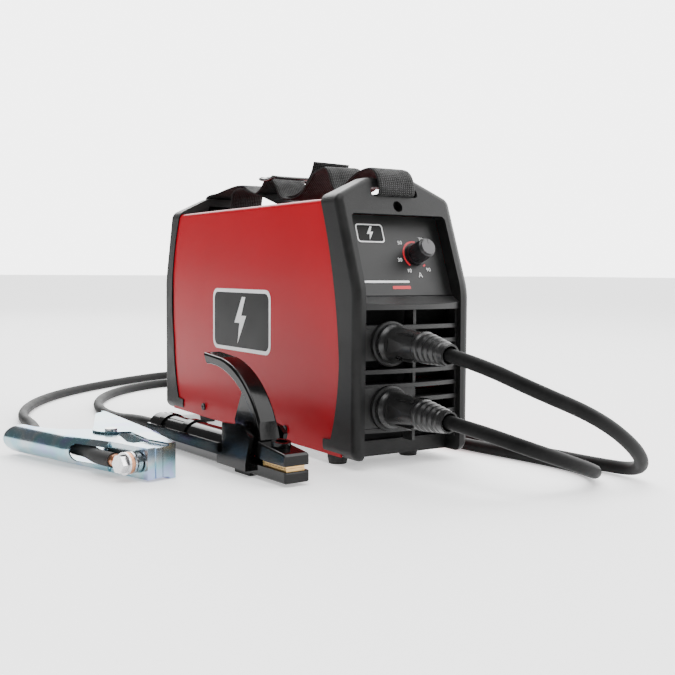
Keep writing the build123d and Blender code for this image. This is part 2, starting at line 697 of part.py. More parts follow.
HOLDER_LEAD = [
    (-23.5, -254, 47.5), (-23.5, -296, 45.3), (-6, -328, 36), (40, -334, 20), (82, -314, 6.5), (95, -272, 5.3),
    (91, -222, 5.3), (83, -168, 5.3), (80, -108, 5.3), (88, -48, 5.3), (104, 12, 5.3), (118, 72, 5.3),
    (128, 132, 5.3), (136, 192, 5.3), (140, 252, 5.3), (138, 312, 5.3), (122, 366, 5.3), (88, 404, 5.3),
    (44, 420, 5.3), (0, 400, 5.3), (-42, 368, 5.3), (-80, 322, 5.3), (-108, 268, 5.3), (-124, 212, 5.3),
    (-129, 172, 5.3), (-130, 134, 6.5), (-133.5, 86, 12), (-136.5, 38, 15.5), (-133.5, -9.5, 15.5),
]


def lead_radii(points):
    """The largest tangent arc that each corner's two runs allow."""
    radii = []
    for before, corner, after in zip(points, points[1:], points[2:]):
        run_in = Vector(*corner) - Vector(*before)
        run_out = Vector(*after) - Vector(*corner)
        turn = math.radians(run_in.get_angle(run_out))
        radii.append(0.45 * min(run_in.length, run_out.length) / math.tan(turn / 2))
    return radii


def lead(points, label):
    radii = lead_radii(points)
    path = FilletPolyline(*points, radius=radii)
    start = Plane(origin=points[0], z_dir=Vector(*points[1]) - Vector(*points[0]))
    tube = sweep(start * Circle(LEAD_R), path=path)
    print(label, "length", round(path.length, 1), "smallest radius", round(min(radii), 1))
    print(label, "radii", [round(r) for r in radii])
    print(label, "volume ratio", round(tube.volume / (math.pi * LEAD_R ** 2 * path.length), 4))
    return tube


# ---------------------------------------------------------------- electrode holder
# Drawn with its nose at the origin: X across, Y back along the grip, Z up.

def grip_axis(y):
    return (0, y, HOLDER_GRIP_Z)


def holder_frame():
    """Lower jaw, middle block with two guard plates, and the side walls that cradle the grip."""
    jaw = block(-10.8, 10.8, -0.6, 50, 2.4, 11.1)
    jaw = fillet([e for e in jaw.edges() if e.center().Y < 0 or e.center().Z < 3], 1.6)
    middle = block(-16.4, 16.4, 46, 90, 5, 14)
    guard = outline((44.6, 12), (41.8, 21.6), (38.1, 32.3), (45.5, 37.6), (58.8, 39.8), (80.5, 38.5), (80.5, 12))
    body = jaw + middle + prism_x(guard, 13.4, 17) + prism_x(guard, -17, -13.4)
    half = [(16.6, 21), (16.6, 12), (12.5, 4.5), (8.5, 2)]
    cradle = outline(*half, *[(-x, z) for x, z in reversed(half)])
    body += prism_y(cradle, 88, HOLDER_LENGTH)
    body -= rod(grip_axis(89.5), grip_axis(230), 14.9)
    body += block(-10, 10, 50, 72.8, 0, 5)
    y, z = HOLDER_PIVOT
    return body - rod((-PIN_HALF, y, z), (PIN_HALF, y, z), 2.5)


def holder_grip():
    """Tubular grip with two raised collars; the lead enters its rear."""
    grip = rod(grip_axis(90), grip_axis(HOLDER_LENGTH + 5), 13.2)
    for y in (196, 152):
        grip += rod(grip_axis(y), grip_axis(y + 9), 14.6)
    for turn in range(0, 360, 30):
        groove = Pos(*grip_axis(0)) * Rot(0, turn, 0) * block(-0.9, 0.9, 164, 193, 12.6, 15)
        grip -= groove
    grip -= rod(grip_axis(100), grip_axis(HOLDER_LENGTH + 10), LEAD_R + 0.2)
    return grip - rod(grip_axis(85), grip_axis(101), 4.2)


def holder_lever():
    """Upper jaw and curved lever in one moulding, pivoting between the guard plates."""
    jaw_side = outline(
        (-0.5, 15.4), (-0.5, 22.6), (1.5, 24.2), (37, 28.8), (52, 32), (52, 17), (30, 16), (28, 15.4),
    )
    jaw = prism_x(jaw_side, -10.8, 10.8) & block(-10.8, 10.8, -1, 37.6, 0, 60)
    jaw = fillet([e for e in jaw.edges() if abs(e.center().X) > 10.7 and e.center().Y < 30 and e.center().Z > 17], 1.6)
    jaw += prism_x(jaw_side, -7.5, 7.5)
    arm_side = make_face([
        Line((36.5, 29.5), (40, 42.7)),
        ThreePointArc((40, 42.7), (64.3, 72.5), (100, 87.6)),
        Line((100, 87.6), (126, 90)),
        Line((126, 90), (121, 81)),
        ThreePointArc((121, 81), (93, 77.5), (69.5, 63)),
        Line((69.5, 63), (80.5, 40)),
        Line((80.5, 40), (78, 32.5)),
        Line((78, 32.5), (58, 27)),
        Line((58, 27), (50, 17.5)),
        Line((50, 17.5), (36.5, 29.5)),
    ])
    web = prism_x(arm_side, -5.5, 5.5)
    rim_side = make_face([
        Line((36.5, 29.5), (40, 42.7)),
        ThreePointArc((40, 42.7), (64.3, 72.5), (100, 87.6)),
        Line((100, 87.6), (126, 90)),
        Line((126, 90), (121, 81)),
        ThreePointArc((121, 81), (71, 66.5), (47, 40)),
        Line((47, 40), (44, 28)),
        Line((44, 28), (36.5, 29.5)),
    ])
    rim = prism_x(rim_side, -8.5, 8.5)
    rim = fillet([e for e in rim.edges() if abs(e.center().X) > 8.4 and e.geom_type == GeomType.CIRCLE], 2.0)
    y, z = HOLDER_PIVOT
    hub = rod((-13, y, z), (13, y, z), 5.6)
    return web + rim + jaw + hub - rod((-20, y, z), (20, y, z), 2.55)


def holder_pin():
    y, z = HOLDER_PIVOT
    return rod((-PIN_HALF, y, z), (PIN_HALF, y, z), 2.5)


def serrated(low, high, ridge, upward):
    """A brass jaw insert with cross teeth on its gripping side."""
    insert = block(-8, 8, 2, 34, low, high)
    edge = high if upward else low
    for index in range(8):
        y = 4 + index * 4
        notch = Pos(0, y, edge) * Rot(45, 0, 0) * Box(20, ridge, ridge)
        insert -= notch
    return insert


def holder_spring():
    """Closed coils of the compression spring under the lever."""
    coils = [Solid.make_torus(4.6, 0.9, Plane(origin=(0, 70, 15.1 + 1.75 * index))) for index in range(8)]
    spring = coils[0]
    for coil in coils[1:]:
        spring += coil
    return spring


def holder_cap():
    """Insulating screw cap on top of the upper jaw, a raised ring round its recess."""
    cap = Solid.make_cylinder(7.4, 3.6) - Pos(0, 0, 1.6) * Solid.make_cylinder(4.4, 4)
    return Pos(0, 21.5, 26.8) * Rot(7.4, 0, 0) * Pos(0, 0, 0.1) * cap


# ---------------------------------------------------------------- ground clamp
# Drawn with its nose at the origin: X across, Y back along the near handle, Z up. It lies on its side.

def half_tube(radius, y0, y1, outward):
    """Half of a thin tube along Y about the clamp's mid height, bulging to -X (outward = -1) or +X."""
    centre = (0, y0, CLAMP_MID_Z)
    tube = rod(centre, (0, y1, CLAMP_MID_Z), radius)
    tube -= rod(centre, (0, y1 + 1, CLAMP_MID_Z), radius - CLAMP_SHEET)
    keep = block(-40, 0, y0 - 1, y1 + 1, -5, 40) if outward < 0 else block(0, 40, y0 - 1, y1 + 1, -5, 40)
    return tube & keep


def half_ellipse(y, depth, height):
    """Half an ellipse across the clamp at that distance behind the nose, bulging to -X from the handle's edge."""
    plane = Plane(origin=(-17, y, CLAMP_MID_Z), x_dir=(1, 0, 0), z_dir=(0, 1, 0))
    return plane * (Ellipse(depth, height) & Pos(-depth, 0) * Rectangle(2 * depth, 3 * height))


def clamp_fairing():
    """The bulge of the near handle as it flattens towards the nose, with an oval slot for the cable."""
    low_y, high_y = 46, 96
    skin = loft([half_ellipse(low_y, 3.0, CLAMP_ARM_R), half_ellipse(high_y, CLAMP_ARM_R, CLAMP_ARM_R)])
    inside = CLAMP_ARM_R - CLAMP_SHEET
    skin -= loft([half_ellipse(low_y, 3.0 - CLAMP_SHEET, inside), half_ellipse(high_y, inside, inside)])
    slot = rounded([(-7, 30), (7, 30), (7, 86), (-7, 86)], 6.9)
    plane = Plane(origin=(-10, 0, CLAMP_MID_Z), x_dir=(0, 0, 1), z_dir=(-1, 0, 0))
    return skin - extrude(plane * slot, amount=30)


def clamp_fixed_arm():
    """Near handle: half tube, two cheeks to the pivot, and the web that carries the jaw pad and the cable bolt."""
    low, high = CLAMP_MID_Z - CLAMP_ARM_R, CLAMP_MID_Z + CLAMP_ARM_R
    cheek = outline((-17, 150), (-17, 2), (-9.7, 2), (-9.7, 34), (6, 66), (17.5, 78), (17, 92), (8, 106), (-10, 122))
    tail_y = 180 - CLAMP_ARM_R
    round_end = block(-40, 0, 90, tail_y, -5, 40) + rod((-40, tail_y, CLAMP_MID_Z), (0, tail_y, CLAMP_MID_Z), CLAMP_ARM_R)
    arm = Pos(-17, 0, 0) * half_tube(CLAMP_ARM_R, 96, 180, -1) & round_end
    arm += clamp_fairing()
    arm += prism_z(cheek, high - CLAMP_SHEET, high) + prism_z(cheek, low, low + CLAMP_SHEET)
    arm += block(-17, -15.6, 2, 48, low, high)
    arm += block(-17, -9.7, -0.6, 2, low, high)
    x, y = CLAMP_PIVOT
    arm -= rod((x, y, -1), (x, y, 40), 3.05)
    return arm - rod((-20, 15, CLAMP_MID_Z), (0, 15, CLAMP_MID_Z), 4.1)


def clamp_moving_arm():
    """Far handle: half tube flaring at its end, with cheeks outside the near handle's."""
    low, high = 0.0, 2 * CLAMP_MID_Z
    cheek = make_face([
        Line((3.2, 0), (9.5, 0)),
        Line((9.5, 0), (30, 56)),
        Line((30, 56), (68, 172)),
        Line((68, 172), (56, 168)),
        Line((56, 168), (5, 99)),
        ThreePointArc((5, 99), (-1.5, 86), (3, 73)),
        Line((3, 73), (16, 64)),
        Line((16, 64), (3.2, 24)),
        Line((3.2, 24), (3.2, 0)),
    ])
    arm = prism_z(cheek, high - CLAMP_SHEET, high) + prism_z(cheek, low, low + CLAMP_SHEET)
    tube = half_tube(CLAMP_OPEN_R, 0, 128, 1)
    lean = math.degrees(math.atan2(38, 116))
    arm += Pos(29, 56, 0) * Rot(0, 0, -lean) * tube
    arm += block(3.2, 9.5, -0.6, 1.2, low, high)
    nose_web = outline((8.1, 0), (9.5, 0), (30, 56), (28.5, 56))
    arm += prism_z(nose_web, low, high)
    x, y = CLAMP_PIVOT
    return arm - rod((x, y, -1), (x, y, 40), 3.05)


def clamp_pivot_pin():
    x, y = CLAMP_PIVOT
    pin = rod((x, y, 0.0), (x, y, 2 * CLAMP_MID_Z + 0.2), 3.0)
    return pin + rod((x, y, 2 * CLAMP_MID_Z + 0.2), (x, y, 2 * CLAMP_MID_Z + 1.8), 5)


def clamp_spring():
    """Torsion spring coils round the pivot, with a leg to each handle."""
    x, y = CLAMP_PIVOT
    coils = [Solid.make_torus(5.4, 1.1, Plane(origin=(x, y, 6 + 2.1 * index))) for index in range(8)]
    spring = coils[0]
    for coil in coils[1:]:
        spring += coil
    spring += rod((x - 5.4, y, 20.7), (x - 14, y + 26, 20.7), 1.1)
    return spring + rod((x + 5.4, y, 6), (x + 22, y + 22, 6), 1.1)


def clamp_fixed_pad():
    pad = block(-9.7, -3.7, -1.4, 28, 2.2, 25.2)
    for y in (4, 11, 18, 25):
        pad -= Pos(-3.7, y, 13) * Rot(0, 0, 45) * Box(1.6, 1.6, 30)
    return pad - rod((-20, 15, CLAMP_MID_Z), (-5.5, 15, CLAMP_MID_Z), 4.1)


def clamp_moving_pad():
    pad = block(-3.2, 3.2, -1.4, 28, 2.2, 25.2)
    for y in (7.5, 14.5, 21.5):
        pad -= Pos(-3.2, y, 13) * Rot(0, 0, 45) * Box(1.6, 1.6, 30)
    return pad


def clamp_bolt():
    """Hex bolt through the lug, the web and the fixed jaw pad."""
    plane = Plane(origin=(-27.5, 15, CLAMP_MID_Z), x_dir=(0, 1, 0), z_dir=(-1, 0, 0))
    head = extrude(plane * RegularPolygon(7.2, 6), amount=5)
    return head + rod((-27.5, 15, CLAMP_MID_Z), (-6.2, 15, CLAMP_MID_Z), 4.0)


def clamp_washers():
    washers = []
    for x, radius in ((-27.4, 8.6), (-22.2, 8.6), (-18.7, 8.0)):
        disc = rod((x, 15, CLAMP_MID_Z), (x + 1.6, 15, CLAMP_MID_Z), radius)
        washers.append(disc - rod((x - 1, 15, CLAMP_MID_Z), (x + 3, 15, CLAMP_MID_Z), 4.1))
    return pieces(washers)


def clamp_lug():
    """Copper ring terminal under the bolt, its barrel in the sleeve."""
    eye = rod((-25.6, 15, CLAMP_MID_Z), (-22.4, 15, CLAMP_MID_Z), 8.2)
    eye += block(-25.6, -22.4, 15, 30, CLAMP_MID_Z - 5, CLAMP_MID_Z + 5)
    eye += rod((-24, 28, CLAMP_MID_Z), (-24, 40, CLAMP_MID_Z), 4.6)
    return eye - rod((-30, 15, CLAMP_MID_Z), (-20, 15, CLAMP_MID_Z), 4.1)


def clamp_sleeve():
    """Heat-shrunk sleeve from the lead's end to the lug."""
    z = CLAMP_MID_Z
    path = FilletPolyline((-24, 32, z), (-23.5, 52, z), (-13.13, 80, z), (-12, 100, z), radius=[60, 60])
    start = Plane(origin=(-24, 32, z), z_dir=Vector(0.5, 20, 0))
    sleeve = sweep(start * Circle(LEAD_R + 0.5), path=path)
    return sleeve - rod((-24, 28, z), (-24, 40.1, z), 4.6)


# ---------------------------------------------------------------- write every node

save(front_bezel(), "front_bezel")
save(rear_bezel(), "rear_bezel")
save(wrap_cover(), "wrap_cover")
save(base_pan(), "base_pan")
save(pieces(foot(x, y) for x, y in foot_places()), "rubber_feet")
save(pieces([*case_screws().solids(), *fan_screws().solids()]), "case_screws")
save(control_panel(), "control_panel")
save(panel_shelf(), "panel_shelf")
save(front_grille(), "front_grille")
save(inner_plate(), "inner_plate")
save(pieces([socket_insulator(UPPER_SOCKET_Z), socket_insulator(LOWER_SOCKET_Z)]), "output_sockets")
save(pieces([socket_contact(UPPER_SOCKET_Z), socket_contact(LOWER_SOCKET_Z)]), "socket_contacts")
save(plug_handle(UPPER_SOCKET_Z, UPPER_DROOP), "upper_plug")
save(plug_handle(LOWER_SOCKET_Z, LOWER_DROOP), "lower_plug")
save(pieces([plug_pin(UPPER_SOCKET_Z), plug_pin(LOWER_SOCKET_Z)]), "plug_pins")
save(knob(), "current_knob")
save(knob_cap(), "knob_cap")
save(potentiometer(), "potentiometer")
save(pot_shaft(), "potentiometer_shaft")
save(rear_panel(), "rear_panel")
save(fan_frame(), "fan_frame")
save(fan_rotor(), "fan_rotor")
save(fan_guard(), "fan_guard")
save(switch_body(), "switch_body")
save(switch_rocker(), "switch_rocker")
save(pieces([cable_gland(), gland_nut()]), "cable_gland")
save(power_board(), "power_board")
save(board_posts(), "board_posts")
save(pieces([heatsink(-46), heatsink(8)]), "heatsinks")
save(power_transistors(), "power_transistors")
save(capacitors(), "reservoir_capacitors")
save(rectifier(), "bridge_rectifier")
save(transformer_core(), "transformer_core")
save(transformer_winding(), "transformer_winding")
save(output_inductor(), "output_inductor")
save(control_board(), "control_board")
save(bus_bars(), "bus_bars")
save(stud_nuts(), "stud_nuts")
save(strap(), "shoulder_strap")
save(strap_slider(), "strap_slider")
save(lead(CLAMP_LEAD, "clamp lead"), "clamp_lead")
save(lead(HOLDER_LEAD, "holder lead"), "holder_lead")

holder_nodes = {
    "holder_frame": holder_frame(),
    "holder_grip": holder_grip(),
    "holder_lever": holder_lever(),
    "holder_pin": holder_pin(),
    "lower_jaw_insert": serrated(11.1, 13.1, 1.2, True),
    "upper_jaw_insert": serrated(13.4, 15.4, 1.2, False),
    "holder_spring": holder_spring(),
    "holder_cap": holder_cap(),
}
for node, shape in holder_nodes.items():
    save(HOLDER_AT * shape, node)

clamp_nodes = {
    "clamp_fixed_arm": clamp_fixed_arm(),
    "clamp_moving_arm": clamp_moving_arm(),
    "clamp_pivot_pin": clamp_pivot_pin(),
    "clamp_spring": clamp_spring(),
    "clamp_fixed_pad": clamp_fixed_pad(),
    "clamp_moving_pad": clamp_moving_pad(),
    "clamp_bolt": clamp_bolt(),
    "clamp_washers": clamp_washers(),
    "clamp_lug": clamp_lug(),
    "clamp_sleeve": clamp_sleeve(),
}
for node, shape in clamp_nodes.items():
    save(CLAMP_AT * shape, node)
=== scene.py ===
import json
import math
import bmesh
import bpy
from mathutils import Matrix, Vector


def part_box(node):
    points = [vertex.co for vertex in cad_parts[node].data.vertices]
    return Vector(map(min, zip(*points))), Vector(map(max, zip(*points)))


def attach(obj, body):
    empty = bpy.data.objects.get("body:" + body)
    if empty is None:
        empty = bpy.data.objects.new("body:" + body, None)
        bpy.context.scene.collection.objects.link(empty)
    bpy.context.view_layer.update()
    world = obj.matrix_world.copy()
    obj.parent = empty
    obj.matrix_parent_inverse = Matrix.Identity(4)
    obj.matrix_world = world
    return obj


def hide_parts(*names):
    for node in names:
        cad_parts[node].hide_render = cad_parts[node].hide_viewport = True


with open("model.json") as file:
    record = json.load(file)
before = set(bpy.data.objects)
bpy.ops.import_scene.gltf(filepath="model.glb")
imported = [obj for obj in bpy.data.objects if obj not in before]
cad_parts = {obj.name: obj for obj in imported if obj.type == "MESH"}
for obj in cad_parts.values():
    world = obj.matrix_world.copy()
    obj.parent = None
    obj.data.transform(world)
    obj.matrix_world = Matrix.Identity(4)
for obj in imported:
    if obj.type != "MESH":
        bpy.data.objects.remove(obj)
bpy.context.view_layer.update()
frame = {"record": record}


# ------------------------------------------------------------------ materials

def new_material(name):
    material = bpy.data.materials.new(name)
    material.use_nodes = True
    nodes = material.node_tree.nodes
    nodes.clear()
    output = nodes.new("ShaderNodeOutputMaterial")
    shader = nodes.new("ShaderNodeBsdfPrincipled")
    material.node_tree.links.new(shader.outputs[0], output.inputs[0])
    return material, nodes, material.node_tree.links, shader


def noise(nodes, links, scale, detail=3.0, stretch=None):
    """A noise texture over object coordinates, optionally stretched along the axes."""
    coord = nodes.new("ShaderNodeTexCoord")
    texture = nodes.new("ShaderNodeTexNoise")
    texture.inputs["Scale"].default_value = scale
    texture.inputs["Detail"].default_value = detail
    if stretch:
        mapping = nodes.new("ShaderNodeMapping")
        mapping.inputs["Scale"].default_value = stretch
        links.new(coord.outputs["Object"], mapping.inputs["Vector"])
        links.new(mapping.outputs["Vector"], texture.inputs["Vector"])
    else:
        links.new(coord.outputs["Object"], texture.inputs["Vector"])
    return texture


def ramp(nodes, links, source, stops):
    node = nodes.new("ShaderNodeValToRGB")
    while len(node.color_ramp.elements) < len(stops):
        node.color_ramp.elements.new(0.5)
    for element, (place, colour) in zip(node.color_ramp.elements, stops):
        element.position = place
        element.color = tuple(colour) + (1.0,)
    links.new(source, node.inputs[0])
    return node.outputs[0]


def span(nodes, links, source, low, high):
    node = nodes.new("ShaderNodeMapRange")
    node.inputs["From Min"].default_value = 0.3
    node.inputs["From Max"].default_value = 0.7
    node.inputs["To Min"].default_value = low
    node.inputs["To Max"].default_value = high
    links.new(source, node.inputs["Value"])
    return node.outputs[0]


def bump(nodes, links, source, shader, strength, distance):
    node = nodes.new("ShaderNodeBump")
    node.inputs["Strength"].default_value = strength
    node.inputs["Distance"].default_value = distance
    links.new(source, node.inputs["Height"])
    links.new(node.outputs[0], shader.inputs["Normal"])
    return node


def plastic(name, dark, light, rough, grain, depth, specular=0.5, coat=0.0):
    """Moulded plastic: slight colour drift, varied roughness and a fine grain."""
    material, nodes, links, shader = new_material(name)
    drift = noise(nodes, links, 60)
    colour = ramp(nodes, links, drift.outputs[0], [(0.35, dark), (0.65, light)])
    links.new(colour, shader.inputs["Base Color"])
    links.new(span(nodes, links, drift.outputs[0], rough[0], rough[1]), shader.inputs["Roughness"])
    fine = noise(nodes, links, grain, 2.0)
    bump(nodes, links, fine.outputs[0], shader, 0.35, depth)
    shader.inputs["Specular IOR Level"].default_value = specular
    shader.inputs["Coat Weight"].default_value = coat
    return material


def paint(name, dark, light, rough):
    """Glossy powder coat with a faint orange-peel surface."""
    material, nodes, links, shader = new_material(name)
    drift = noise(nodes, links, 8)
    colour = ramp(nodes, links, drift.outputs[0], [(0.3, dark), (0.7, light)])
    links.new(colour, shader.inputs["Base Color"])
    fine = noise(nodes, links, 500, 1.0)
    links.new(span(nodes, links, fine.outputs[0], rough - 0.02, rough + 0.02), shader.inputs["Roughness"])
    bump(nodes, links, fine.outputs[0], shader, 0.05, 0.00004)
    shader.inputs["Specular IOR Level"].default_value = 0.1
    shader.inputs["Coat Weight"].default_value = 0.05
    shader.inputs["Coat Roughness"].default_value = 0.1
    return material


def metal(name, stops, rough, stretch=(1, 1, 1), scale=220.0, depth=0.00005):
    """Bare or plated metal: colour stops over a slow drift, with a fine grain in its roughness."""
    material, nodes, links, shader = new_material(name)
    drift = noise(nodes, links, 26, 3.0)
    links.new(ramp(nodes, links, drift.outputs[0], stops), shader.inputs["Base Color"])
    fine = noise(nodes, links, scale, 3.0, stretch)
    links.new(span(nodes, links, fine.outputs[0], rough[0], rough[1]), shader.inputs["Roughness"])
    bump(nodes, links, fine.outputs[0], shader, 0.3, depth)
    shader.inputs["Metallic"].default_value = 1.0
    return material


def grey(level):
    return (level, level, level)


ZINC_TINTS = [
    (0.3, (0.20, 0.36, 0.56)), (0.45, (0.44, 0.50, 0.53)), (0.55, (0.26, 0.46, 0.52)),
    (0.68, (0.33, 0.30, 0.58)), (0.8, (0.50, 0.49, 0.44)),
]
STEEL_TINTS = [(0.3, (0.62, 0.62, 0.63)), (0.7, (0.75, 0.75, 0.76))]
BRASS_TINTS = [(0.3, (0.55, 0.33, 0.12)), (0.7, (0.75, 0.5, 0.22))]
COPPER_TINTS = [(0.3, (0.55, 0.25, 0.14)), (0.7, (0.75, 0.38, 0.22))]
ALUMINIUM_TINTS = [(0.3, (0.7, 0.7, 0.71)), (0.7, (0.8, 0.8, 0.81))]

# Plastics: darkest and lightest colour, roughness range, grain scale and depth, specular level, coat.
MATERIALS = {
    "bezel": plastic("bezel_plastic", grey(0.006), grey(0.01), (0.4, 0.5), 1500, 0.0003, 0.22),
    "grille": plastic("grille_plastic", grey(0.008), grey(0.013), (0.42, 0.54), 1500, 0.0002, 0.35),
    "shelf": plastic("shelf_plastic", grey(0.01), grey(0.015), (0.4, 0.5), 1500, 0.0002, 0.35),
    "cover": paint("cover_paint", (0.32, 0.0001, 0.006), (0.36, 0.0002, 0.008), 0.3),
    "film": plastic("panel_film", grey(0.008), grey(0.012), (0.4, 0.5), 900, 0.0001, 0.35),
    "knob": plastic("knob_plastic", (0.006, 0.006, 0.007), (0.011, 0.011, 0.012), (0.34, 0.44), 1200, 0.0001,
                    0.4),
    "cap": plastic("cap_plastic", (0.035, 0.035, 0.037), (0.05, 0.05, 0.053), (0.3, 0.4), 900, 0.0001),
    "feet": plastic("feet_rubber", grey(0.012), grey(0.022), (0.7, 0.85), 700, 0.0003),
    "plug": plastic("plug_rubber", grey(0.007), grey(0.013), (0.26, 0.38), 900, 0.0002, 0.45),
    "lead": plastic("lead_rubber", grey(0.005), grey(0.009), (0.5, 0.6), 700, 0.00015, 0.08),
    "holder": plastic("holder_plastic", grey(0.002), grey(0.003), (0.1, 0.17), 400, 0.00006, 0.22, 0.05),
    "slider": plastic("slider_plastic", grey(0.006), grey(0.01), (0.16, 0.26), 500, 0.0001, 0.5, 0.2),
    # Near-black for the inner plate: painted shade standing in for the dark interior behind the window
    "painted_shade_inside": plastic("inner_painted_shade", grey(0.002), grey(0.004), (0.7, 0.8), 300, 0.0001, 0.1),
    "white": plastic("print_white", grey(0.72), grey(0.8), (0.4, 0.5), 900, 0.00002, 0.4),
    "print_red": plastic("print_red", (0.55, 0.01, 0.02), (0.62, 0.015, 0.03), (0.4, 0.5), 900, 0.00002, 0.4),
    "print_black": plastic("print_black", grey(0.004), grey(0.007), (0.3, 0.4), 900, 0.00002, 0.12),
    "inner": plastic("inner_plastic", (0.012, 0.012, 0.013), (0.02, 0.02, 0.022), (0.5, 0.65), 900, 0.0002),
    "board": plastic("board_laminate", (0.01, 0.09, 0.035), (0.015, 0.13, 0.05), (0.4, 0.55), 400, 0.0001),
    "zinc": metal("zinc_plate", ZINC_TINTS, (0.14, 0.24), (1, 1, 1), 60.0, 0.00001),
    "steel": metal("bright_steel", STEEL_TINTS, (0.2, 0.34)),
    "brass": metal("brass", BRASS_TINTS, (0.26, 0.42)),
    "copper": metal("copper", COPPER_TINTS, (0.26, 0.42)),
    "aluminium": metal("extruded_aluminium", ALUMINIUM_TINTS, (0.3, 0.42), (1, 0.02, 1)),
    "ferrite": plastic("ferrite", (0.03, 0.03, 0.033), (0.05, 0.05, 0.055), (0.55, 0.7), 500, 0.0002),
}

NODE_LOOK = {
    # The inner plate takes the near-black painted shade of the interior seen through the window
    "painted_shade_inside": ["inner_plate"],
    "bezel": ["front_bezel", "rear_bezel", "output_sockets", "fan_guard", "fan_frame", "switch_body",
              "cable_gland"],
    "grille": ["front_grille"],
    "shelf": ["panel_shelf", "rear_panel"],
    "cover": ["wrap_cover"],
    "film": ["control_panel"],
    "knob": ["current_knob", "switch_rocker", "case_screws"],
    "cap": ["knob_cap"],
    "feet": ["rubber_feet", "clamp_sleeve"],
    "plug": ["upper_plug", "lower_plug"],
    "holder": ["holder_frame", "holder_grip", "holder_lever", "holder_cap"],
    "inner": ["fan_rotor", "potentiometer", "power_transistors", "reservoir_capacitors", "bridge_rectifier"],
    "board": ["power_board", "control_board"],
    "zinc": ["clamp_fixed_arm", "clamp_moving_arm", "clamp_fixed_pad", "clamp_moving_pad"],
    "steel": ["base_pan", "potentiometer_shaft", "stud_nuts", "holder_pin", "holder_spring",
              "clamp_pivot_pin", "clamp_spring", "clamp_bolt", "clamp_washers"],
    "brass": ["socket_contacts", "plug_pins", "lower_jaw_insert", "upper_jaw_insert"],
    "copper": ["transformer_winding", "output_inductor", "bus_bars", "clamp_lug"],
    "aluminium": ["board_posts", "heatsinks"],
    "ferrite": ["transformer_core"],
}
for look, names in NODE_LOOK.items():
    for node_name in names:
        piece = bpy.data.objects[node_name]
        piece.data.materials.clear()
        piece.data.materials.append(MATERIALS[look])


# ------------------------------------------------------------------ helpers

def from_bmesh(name, bm, look, body="machine", smooth=True):
    mesh = bpy.data.meshes.new(name)
    bm.to_mesh(mesh)
    bm.free()
    piece = bpy.data.objects.new(name, mesh)
    bpy.context.scene.collection.objects.link(piece)
    mesh.materials.append(MATERIALS[look])
    for polygon in mesh.polygons:
        polygon.use_smooth = smooth
    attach(piece, body)
    return piece


# ------------------------------------------------------------------ leads

# Routes of the leads from plug to tool, the same points as the CAD's, in metres.
CLAMP_LEAD = [
    (-0.0235, -0.2539, 0.0977), (-0.0235, -0.298, 0.0923), (-0.005, -0.332, 0.077),
    (0.036, -0.356, 0.057), (0.084, -0.35, 0.028), (0.116, -0.324, 0.007), (0.114, -0.28, 0.0053),
    (0.111, -0.228, 0.0053), (0.103, -0.168, 0.0053), (0.098, -0.108, 0.0053), (0.108, -0.048, 0.0053),
    (0.128, 0.012, 0.0053), (0.144, 0.072, 0.0053), (0.158, 0.132, 0.0053), (0.166, 0.192, 0.0053),
    (0.175, 0.252, 0.0053), (0.178, 0.312, 0.0053), (0.176, 0.372, 0.0053), (0.166, 0.428, 0.0053),
    (0.142, 0.478, 0.0053), (0.104, 0.514, 0.0053), (0.058, 0.504, 0.0053), (0.01, 0.475, 0.0053),
    (-0.036, 0.444, 0.0053), (-0.084, 0.406, 0.0053), (-0.13, 0.36, 0.0053), (-0.168, 0.306, 0.0053),
    (-0.195, 0.25, 0.0053), (-0.212, 0.194, 0.0053), (-0.216, 0.142, 0.0053), (-0.226, 0.094, 0.007),
    (-0.2434, 0.052, 0.012), (-0.245, 0.018, 0.0137), (-0.2388, -0.013, 0.0137),
    (-0.2328, -0.0443, 0.0137),
]
HOLDER_LEAD = [
    (-0.0235, -0.254, 0.0475), (-0.0235, -0.296, 0.0453), (-0.006, -0.328, 0.036), (0.04, -0.334, 0.02),
    (0.082, -0.314, 0.0065), (0.095, -0.272, 0.0053), (0.091, -0.222, 0.0053), (0.083, -0.168, 0.0053),
    (0.08, -0.108, 0.0053), (0.088, -0.048, 0.0053), (0.104, 0.012, 0.0053), (0.118, 0.072, 0.0053),
    (0.128, 0.132, 0.0053), (0.136, 0.192, 0.0053), (0.14, 0.252, 0.0053), (0.138, 0.312, 0.0053),
    (0.122, 0.366, 0.0053), (0.088, 0.404, 0.0053), (0.044, 0.42, 0.0053), (0, 0.4, 0.0053),
    (-0.042, 0.368, 0.0053), (-0.08, 0.322, 0.0053), (-0.108, 0.268, 0.0053), (-0.124, 0.212, 0.0053),
    (-0.129, 0.172, 0.0053), (-0.13, 0.134, 0.0065), (-0.1335, 0.086, 0.012), (-0.1365, 0.038, 0.0155),
    (-0.1335, -0.0095, 0.0155),
]
LEAD_R = 0.00525


def lead(name, points, node):
    """One lead as a smooth curve over its route, standing in for its CAD tube; it ends at its own tool."""
    curve = bpy.data.curves.new(name, "CURVE")
    curve.dimensions = "3D"
    spline = curve.splines.new("NURBS")
    spline.points.add(len(points) - 1)
    for point, place in zip(spline.points, points):
        point.co = (*place, 1.0)
    spline.order_u = 3
    spline.use_endpoint_u = True
    spline.resolution_u = 10
    curve.bevel_depth = LEAD_R
    curve.bevel_resolution = 6
    curve.use_fill_caps = True
    piece = bpy.data.objects.new(name, curve)
    bpy.context.scene.collection.objects.link(piece)
    curve.materials.append(MATERIALS["lead"])
    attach(piece, "machine")
    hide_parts(node)


lead("clamp_lead_cable", CLAMP_LEAD, "clamp_lead")
lead("holder_lead_cable", HOLDER_LEAD, "holder_lead")


# ------------------------------------------------------------------ strap

